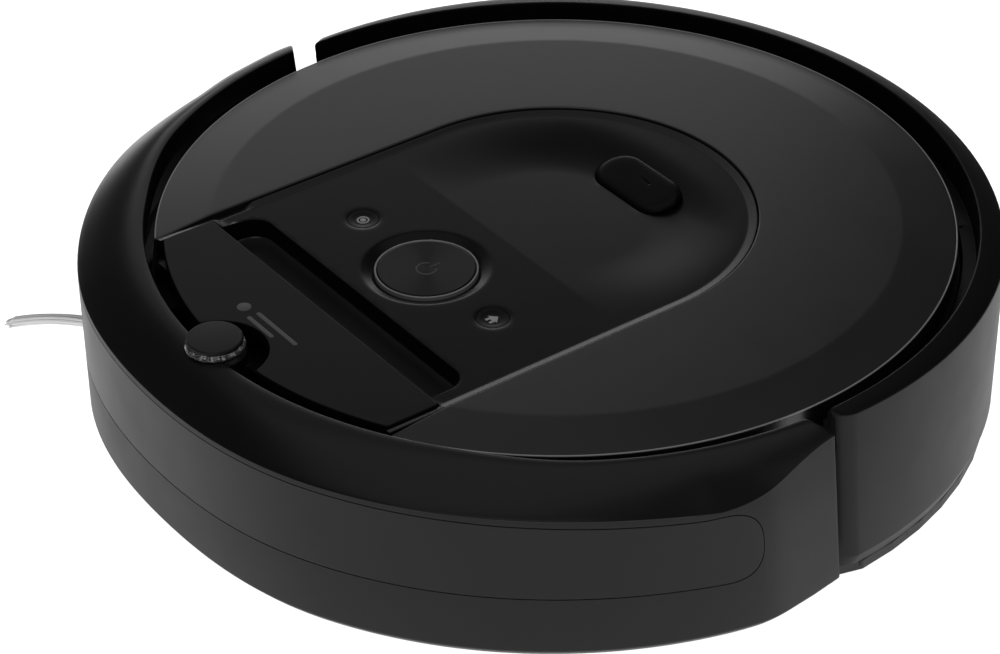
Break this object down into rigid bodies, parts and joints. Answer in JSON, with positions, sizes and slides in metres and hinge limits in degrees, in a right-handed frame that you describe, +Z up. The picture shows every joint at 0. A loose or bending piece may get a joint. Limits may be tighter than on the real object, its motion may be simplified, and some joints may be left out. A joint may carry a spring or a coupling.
{
  "type": "robot vacuum",
  "caption": "Round robot vacuum with a sprung bumper, carry handle, camera, push buttons, drive wheels, twin brush rollers, side brush and rear dust bin.",
  "frame": {"origin": "on the floor, under the middle of the machine's bounding box", "axes": "+Z up; -Y is the front, where the bumper is; +Y is the rear, where the dust bin slides out; +X is the machine's own left side"},
  "size_m": [0.3386, 0.3383, 0.092],
  "materials": {
    "satin_black": "satin, soft sheen",
    "flank_grey": "fine matte grain",
    "disc_grey": "fine satin grain",
    "panel_grey": "smooth matte",
    "gloss_black": "high gloss",
    "inner_black": "matte",
    "window_black": "infrared-clear, satin",
    "smoke_lens": "clear smoked",
    "light_guide": "frosted light guide",
    "brush_white": "white, slightly waxy",
    "tyre": "ribbed rubber",
    "hub_grey": "moulded",
    "roller_green": "soft rubber",
    "frame_yellow": "moulded",
    "frame_grey": "moulded",
    "bin_smoke": "smoked",
    "filter_white": "pleated paper",
    "steel": "plated",
    "board_green": "solder mask",
    "battery_black": "shrink wrap",
    "seal_rubber": "soft"
  },
  "bodies": {
    "chassis": {"chassis_base": "inner_black", "battery": "battery_black", "battery_cover": "inner_black", "cover_screw_1": "steel", "cover_screw_2": "steel", "charge_contact_1": "steel", "charge_contact_2": "steel", "cliff_sensor_1": "gloss_black", "cliff_sensor_2": "gloss_black", "cliff_sensor_3": "gloss_black", "cliff_sensor_4": "gloss_black", "cliff_sensor_5": "gloss_black", "cliff_sensor_6": "gloss_black", "floor_sensor": "gloss_black", "rear_housing": "satin_black", "top_deck": "inner_black", "faceplate": "disc_grey", "tongue_panel": "panel_grey", "finger_trough": "gloss_black", "light_ring": "light_guide", "camera_bezel": "gloss_black", "camera_lens": "smoke_lens", "main_board": "board_green", "handle_pin_left": "steel", "handle_pin_right": "steel", "brush_motor": "hub_grey", "fan_housing": "inner_black"},
    "bumper": {"bumper_shell": "satin_black", "bumper_window": "window_black", "knob_bracket": "inner_black", "knob_base": "gloss_black", "knob_lens": "smoke_lens", "knob_cap": "inner_black"},
    "clean_button": {"clean_button": "gloss_black"},
    "spot_button": {"spot_button": "gloss_black"},
    "dock_button": {"dock_button": "gloss_black"},
    "handle": {"handle": "gloss_black"},
    "left_suspension": {"left_wheel_arm": "frame_grey", "left_wheel_motor": "steel"},
    "left_wheel": {"left_tyre": "tyre", "left_wheel_hub": "hub_grey"},
    "right_suspension": {"right_wheel_arm": "frame_grey", "right_wheel_motor": "steel"},
    "right_wheel": {"right_tyre": "tyre", "right_wheel_hub": "hub_grey"},
    "caster": {"caster_fork": "hub_grey"},
    "caster_wheel": {"caster_wheel": "tyre"},
    "cleaning_head": {"head_housing": "frame_grey", "head_motor": "steel"},
    "brush_frame": {"brush_frame": "frame_yellow"},
    "front_roller": {"front_roller": "roller_green"},
    "rear_roller": {"rear_roller": "roller_green"},
    "side_brush": {"side_brush": "brush_white", "side_brush_screw": "steel"},
    "dust_bin": {"bin_shell": "bin_smoke", "bin_filter": "filter_white"},
    "bin_door": {"bin_door": "bin_smoke"},
    "bin_button": {"bin_release": "gloss_black"},
    "port_flap": {"port_flap": "seal_rubber"},
    "impeller": {"impeller": "hub_grey"}
  },
  "joints": [
    {"name": "bumper_press", "type": "slide", "parent": "chassis", "child": "bumper", "axis": [0, 1, 0], "range_m": [0, 0.0025], "stiffness_N_per_m": 400},
    {"name": "clean_press", "type": "slide", "parent": "chassis", "child": "clean_button", "axis": [0, 0, -1], "range_m": [0, 0.0008], "stiffness_N_per_m": 800},
    {"name": "spot_press", "type": "slide", "parent": "chassis", "child": "spot_button", "axis": [0, 0, -1], "range_m": [0, 0.0005], "stiffness_N_per_m": 600},
    {"name": "dock_press", "type": "slide", "parent": "chassis", "child": "dock_button", "axis": [0, 0, -1], "range_m": [0, 0.0005], "stiffness_N_per_m": 600},
    {"name": "handle_lift", "type": "hinge", "parent": "chassis", "child": "handle", "pos_m": [0, -0.125, 0.078], "axis": [1, 0, 0], "range_deg": [0, 30]},
    {"name": "left_wheel_drop", "type": "hinge", "parent": "chassis", "child": "left_suspension", "pos_m": [0.102, -0.048, 0.04], "axis": [-1, 0, 0], "range_deg": [0, 25]},
    {"name": "right_wheel_drop", "type": "hinge", "parent": "chassis", "child": "right_suspension", "pos_m": [-0.102, -0.048, 0.04], "axis": [-1, 0, 0], "range_deg": [0, 25]},
    {"name": "left_wheel_spin", "type": "hinge", "parent": "left_suspension", "child": "left_wheel", "pos_m": [0.12, 0, 0.036], "axis": [1, 0, 0], "continuous": true},
    {"name": "right_wheel_spin", "type": "hinge", "parent": "right_suspension", "child": "right_wheel", "pos_m": [-0.12, 0, 0.036], "axis": [1, 0, 0], "continuous": true},
    {"name": "caster_swivel", "type": "hinge", "parent": "chassis", "child": "caster", "pos_m": [0, -0.122, 0.03], "axis": [0, 0, 1], "continuous": true},
    {"name": "caster_spin", "type": "hinge", "parent": "caster", "child": "caster_wheel", "pos_m": [0, -0.117, 0.015], "axis": [1, 0, 0], "continuous": true},
    {"name": "head_float", "type": "slide", "parent": "chassis", "child": "cleaning_head", "axis": [0, 0, 1], "range_m": [0, 0.005]},
    {"name": "brush_frame_open", "type": "hinge", "parent": "cleaning_head", "child": "brush_frame", "pos_m": [0, 0.0633, 0.01], "axis": [1, 0, 0], "range_deg": [0, 75]},
    {"name": "front_roller_spin", "type": "hinge", "parent": "cleaning_head", "child": "front_roller", "pos_m": [0, 0.018, 0.0155], "axis": [1, 0, 0], "continuous": true},
    {"name": "rear_roller_spin", "type": "hinge", "parent": "cleaning_head", "child": "rear_roller", "pos_m": [0, 0.046, 0.0155], "axis": [1, 0, 0], "continuous": true},
    {"name": "side_brush_spin", "type": "hinge", "parent": "chassis", "child": "side_brush", "pos_m": [-0.1044, -0.1, 0.008], "axis": [0, 0, 1], "continuous": true},
    {"name": "bin_slide", "type": "slide", "parent": "chassis", "child": "dust_bin", "axis": [0, 1, 0], "range_m": [0, 0.11]},
    {"name": "bin_door_open", "type": "hinge", "parent": "dust_bin", "child": "bin_door", "pos_m": [0, 0.136, 0.0136], "axis": [1, 0, 0], "range_deg": [0, 80]},
    {"name": "bin_release_press", "type": "slide", "parent": "dust_bin", "child": "bin_button", "axis": [0, -1, 0], "range_m": [0, 0.002], "stiffness_N_per_m": 500},
    {"name": "port_flap_open", "type": "hinge", "parent": "dust_bin", "child": "port_flap", "pos_m": [0.066, 0.1105, 0.0135], "axis": [1, 0, 0], "range_deg": [0, 60], "stiffness_Nm_per_rad": 0.004, "springref_deg": -11.46},
    {"name": "impeller_spin", "type": "hinge", "parent": "chassis", "child": "impeller", "pos_m": [0.111, 0.07, 0.04], "axis": [0, 0, 1], "continuous": true}
  ],
  "couplings": [
    {"joint": "rear_roller_spin", "follows": "front_roller_spin", "ratio": -1}
  ]
}
